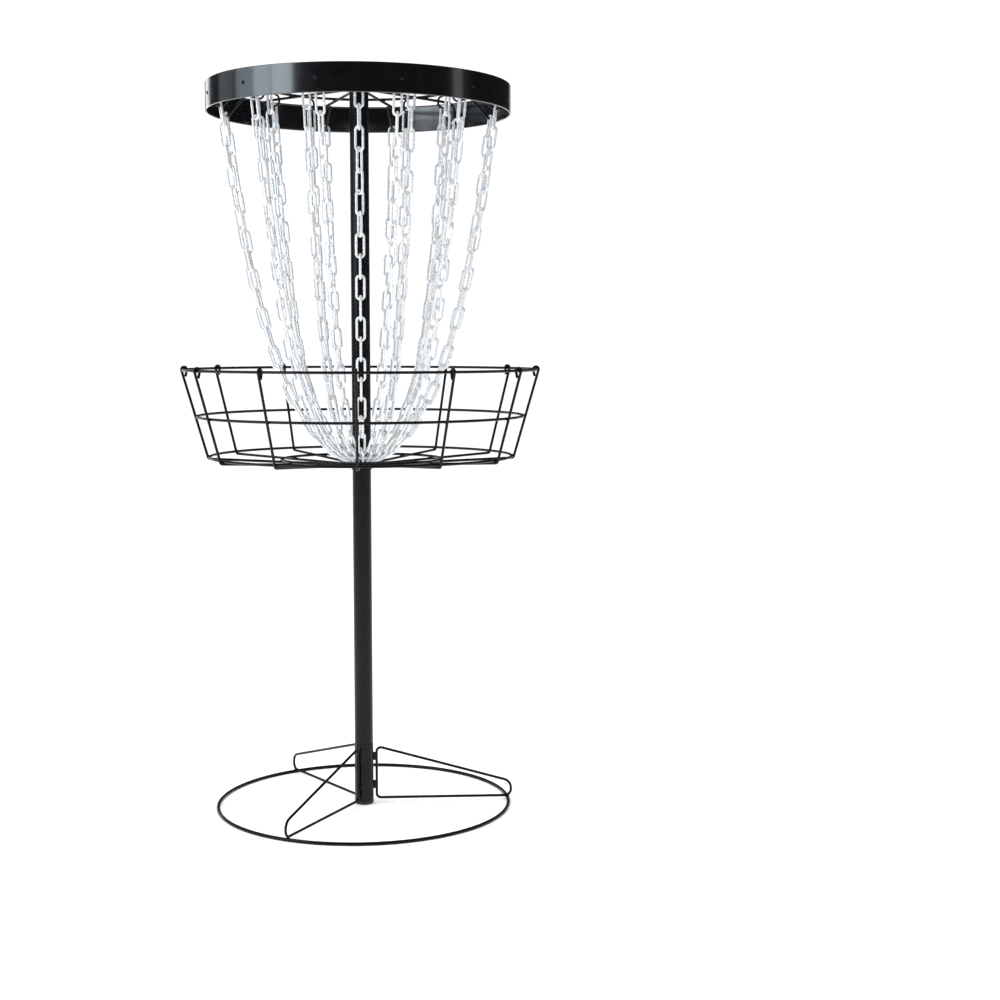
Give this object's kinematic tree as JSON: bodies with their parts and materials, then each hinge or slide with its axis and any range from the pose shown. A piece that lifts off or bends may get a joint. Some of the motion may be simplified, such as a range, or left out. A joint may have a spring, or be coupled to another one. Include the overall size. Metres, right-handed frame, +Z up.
{
  "type": "disc golf basket",
  "caption": "Free-standing disc golf basket: wire base, pole, round wire cage, hanging chains on a spoked support and a round band at the top.",
  "frame": {"origin": "on the pole's axis, at the floor", "axes": "+Z up along the pole; the front, as pictured, faces -Y; one of the twelve inner chains hangs towards +X"},
  "size_m": [0.6708, 0.6708, 1.3515],
  "materials": {
    "black_wire": "black powder coat on steel wire",
    "black_pole": "semi-gloss black powder coat on steel tube",
    "black_band": "semi-gloss black powder coat on sheet steel",
    "black_plastic": "moulded black plastic",
    "plain_steel": "turned steel",
    "bright_zinc": "bright zinc plating on round steel wire"
  },
  "bodies": {
    "root": {"base_ring": "black_wire", "base_tube": "black_pole", "base_cap": "black_plastic", "base_gusset_lugs": "black_wire", "base_gusset_01": "black_wire", "base_gusset_02": "black_wire", "base_gusset_03": "black_wire", "lower_pole": "black_pole", "upper_pole": "black_pole", "pole_end_plugs": "plain_steel", "pole_studs": "plain_steel", "cage_hub": "black_pole", "cage_rim": "black_wire", "cage_middle_ring": "black_wire", "cage_bottom_ring": "black_wire", "cage_floor_ring": "black_wire", "cage_wire_01": "black_wire", "cage_wire_02": "black_wire", "cage_wire_03": "black_wire", "cage_wire_04": "black_wire", "cage_wire_05": "black_wire", "cage_wire_06": "black_wire", "cage_wire_07": "black_wire", "cage_wire_08": "black_wire", "cage_wire_09": "black_wire", "cage_wire_10": "black_wire", "cage_wire_11": "black_wire", "cage_wire_12": "black_wire", "chain_collar": "bright_zinc", "spider_hub": "black_pole", "spider_spokes": "black_wire", "spider_ring": "black_wire", "inner_chain_hooks": "black_wire", "band": "black_band", "band_lugs": "black_wire", "band_screws": "black_wire"},
    "chain_outer_01": {"chain_outer_01": "bright_zinc"},
    "chain_outer_02": {"chain_outer_02": "bright_zinc"},
    "chain_outer_03": {"chain_outer_03": "bright_zinc"},
    "chain_outer_04": {"chain_outer_04": "bright_zinc"},
    "chain_outer_05": {"chain_outer_05": "bright_zinc"},
    "chain_outer_06": {"chain_outer_06": "bright_zinc"},
    "chain_outer_07": {"chain_outer_07": "bright_zinc"},
    "chain_outer_08": {"chain_outer_08": "bright_zinc"},
    "chain_outer_09": {"chain_outer_09": "bright_zinc"},
    "chain_outer_10": {"chain_outer_10": "bright_zinc"},
    "chain_outer_11": {"chain_outer_11": "bright_zinc"},
    "chain_outer_12": {"chain_outer_12": "bright_zinc"},
    "chain_inner_01": {"chain_inner_01": "bright_zinc"},
    "chain_inner_02": {"chain_inner_02": "bright_zinc"},
    "chain_inner_03": {"chain_inner_03": "bright_zinc"},
    "chain_inner_04": {"chain_inner_04": "bright_zinc"},
    "chain_inner_05": {"chain_inner_05": "bright_zinc"},
    "chain_inner_06": {"chain_inner_06": "bright_zinc"},
    "chain_inner_07": {"chain_inner_07": "bright_zinc"},
    "chain_inner_08": {"chain_inner_08": "bright_zinc"},
    "chain_inner_09": {"chain_inner_09": "bright_zinc"},
    "chain_inner_10": {"chain_inner_10": "bright_zinc"},
    "chain_inner_11": {"chain_inner_11": "bright_zinc"},
    "chain_inner_12": {"chain_inner_12": "bright_zinc"}
  },
  "joints": [
    {"name": "swing_outer_01", "type": "hinge", "parent": "root", "child": "chain_outer_01", "pos_m": [0.02946, 0.00789, 0.664], "axis": [0.3225, 0.0864, 0.9426], "range_deg": [-8, 8]},
    {"name": "swing_outer_02", "type": "hinge", "parent": "root", "child": "chain_outer_02", "pos_m": [0.02157, 0.02157, 0.664], "axis": [0.2361, 0.2361, 0.9426], "range_deg": [-8, 8]},
    {"name": "swing_outer_03", "type": "hinge", "parent": "root", "child": "chain_outer_03", "pos_m": [0.00789, 0.02946, 0.664], "axis": [0.0864, 0.3225, 0.9426], "range_deg": [-8, 8]},
    {"name": "swing_outer_04", "type": "hinge", "parent": "root", "child": "chain_outer_04", "pos_m": [-0.00789, 0.02946, 0.664], "axis": [-0.0864, 0.3225, 0.9426], "range_deg": [-8, 8]},
    {"name": "swing_outer_05", "type": "hinge", "parent": "root", "child": "chain_outer_05", "pos_m": [-0.02157, 0.02157, 0.664], "axis": [-0.2361, 0.2361, 0.9426], "range_deg": [-8, 8]},
    {"name": "swing_outer_06", "type": "hinge", "parent": "root", "child": "chain_outer_06", "pos_m": [-0.02946, 0.00789, 0.664], "axis": [-0.3225, 0.0864, 0.9426], "range_deg": [-8, 8]},
    {"name": "swing_outer_07", "type": "hinge", "parent": "root", "child": "chain_outer_07", "pos_m": [-0.02946, -0.00789, 0.664], "axis": [-0.3225, -0.0864, 0.9426], "range_deg": [-8, 8]},
    {"name": "swing_outer_08", "type": "hinge", "parent": "root", "child": "chain_outer_08", "pos_m": [-0.02157, -0.02157, 0.664], "axis": [-0.2361, -0.2361, 0.9426], "range_deg": [-8, 8]},
    {"name": "swing_outer_09", "type": "hinge", "parent": "root", "child": "chain_outer_09", "pos_m": [-0.00789, -0.02946, 0.664], "axis": [-0.0864, -0.3225, 0.9426], "range_deg": [-8, 8]},
    {"name": "swing_outer_10", "type": "hinge", "parent": "root", "child": "chain_outer_10", "pos_m": [0.00789, -0.02946, 0.664], "axis": [0.0864, -0.3225, 0.9426], "range_deg": [-8, 8]},
    {"name": "swing_outer_11", "type": "hinge", "parent": "root", "child": "chain_outer_11", "pos_m": [0.02157, -0.02157, 0.664], "axis": [0.2361, -0.2361, 0.9426], "range_deg": [-8, 8]},
    {"name": "swing_outer_12", "type": "hinge", "parent": "root", "child": "chain_outer_12", "pos_m": [0.02946, -0.00789, 0.664], "axis": [0.3225, -0.0864, 0.9426], "range_deg": [-8, 8]},
    {"name": "swing_inner_01", "type": "hinge", "parent": "root", "child": "chain_inner_01", "pos_m": [0.0305, 0, 0.664], "axis": [0.227, 0, 0.9739], "range_deg": [-8, 8]},
    {"name": "swing_inner_02", "type": "hinge", "parent": "root", "child": "chain_inner_02", "pos_m": [0.02641, 0.01525, 0.664], "axis": [0.1966, 0.1135, 0.9739], "range_deg": [-8, 8]},
    {"name": "swing_inner_03", "type": "hinge", "parent": "root", "child": "chain_inner_03", "pos_m": [0.01525, 0.02641, 0.664], "axis": [0.1135, 0.1966, 0.9739], "range_deg": [-8, 8]},
    {"name": "swing_inner_04", "type": "hinge", "parent": "root", "child": "chain_inner_04", "pos_m": [0, 0.0305, 0.664], "axis": [0, 0.227, 0.9739], "range_deg": [-8, 8]},
    {"name": "swing_inner_05", "type": "hinge", "parent": "root", "child": "chain_inner_05", "pos_m": [-0.01525, 0.02641, 0.664], "axis": [-0.1135, 0.1966, 0.9739], "range_deg": [-8, 8]},
    {"name": "swing_inner_06", "type": "hinge", "parent": "root", "child": "chain_inner_06", "pos_m": [-0.02641, 0.01525, 0.664], "axis": [-0.1966, 0.1135, 0.9739], "range_deg": [-8, 8]},
    {"name": "swing_inner_07", "type": "hinge", "parent": "root", "child": "chain_inner_07", "pos_m": [-0.0305, 0, 0.664], "axis": [-0.227, 0, 0.9739], "range_deg": [-8, 8]},
    {"name": "swing_inner_08", "type": "hinge", "parent": "root", "child": "chain_inner_08", "pos_m": [-0.02641, -0.01525, 0.664], "axis": [-0.1966, -0.1135, 0.9739], "range_deg": [-8, 8]},
    {"name": "swing_inner_09", "type": "hinge", "parent": "root", "child": "chain_inner_09", "pos_m": [-0.01525, -0.02641, 0.664], "axis": [-0.1135, -0.1966, 0.9739], "range_deg": [-8, 8]},
    {"name": "swing_inner_10", "type": "hinge", "parent": "root", "child": "chain_inner_10", "pos_m": [0, -0.0305, 0.664], "axis": [0, -0.227, 0.9739], "range_deg": [-8, 8]},
    {"name": "swing_inner_11", "type": "hinge", "parent": "root", "child": "chain_inner_11", "pos_m": [0.01525, -0.02641, 0.664], "axis": [0.1135, -0.1966, 0.9739], "range_deg": [-8, 8]},
    {"name": "swing_inner_12", "type": "hinge", "parent": "root", "child": "chain_inner_12", "pos_m": [0.02641, -0.01525, 0.664], "axis": [0.1966, -0.1135, 0.9739], "range_deg": [-8, 8]}
  ]
}
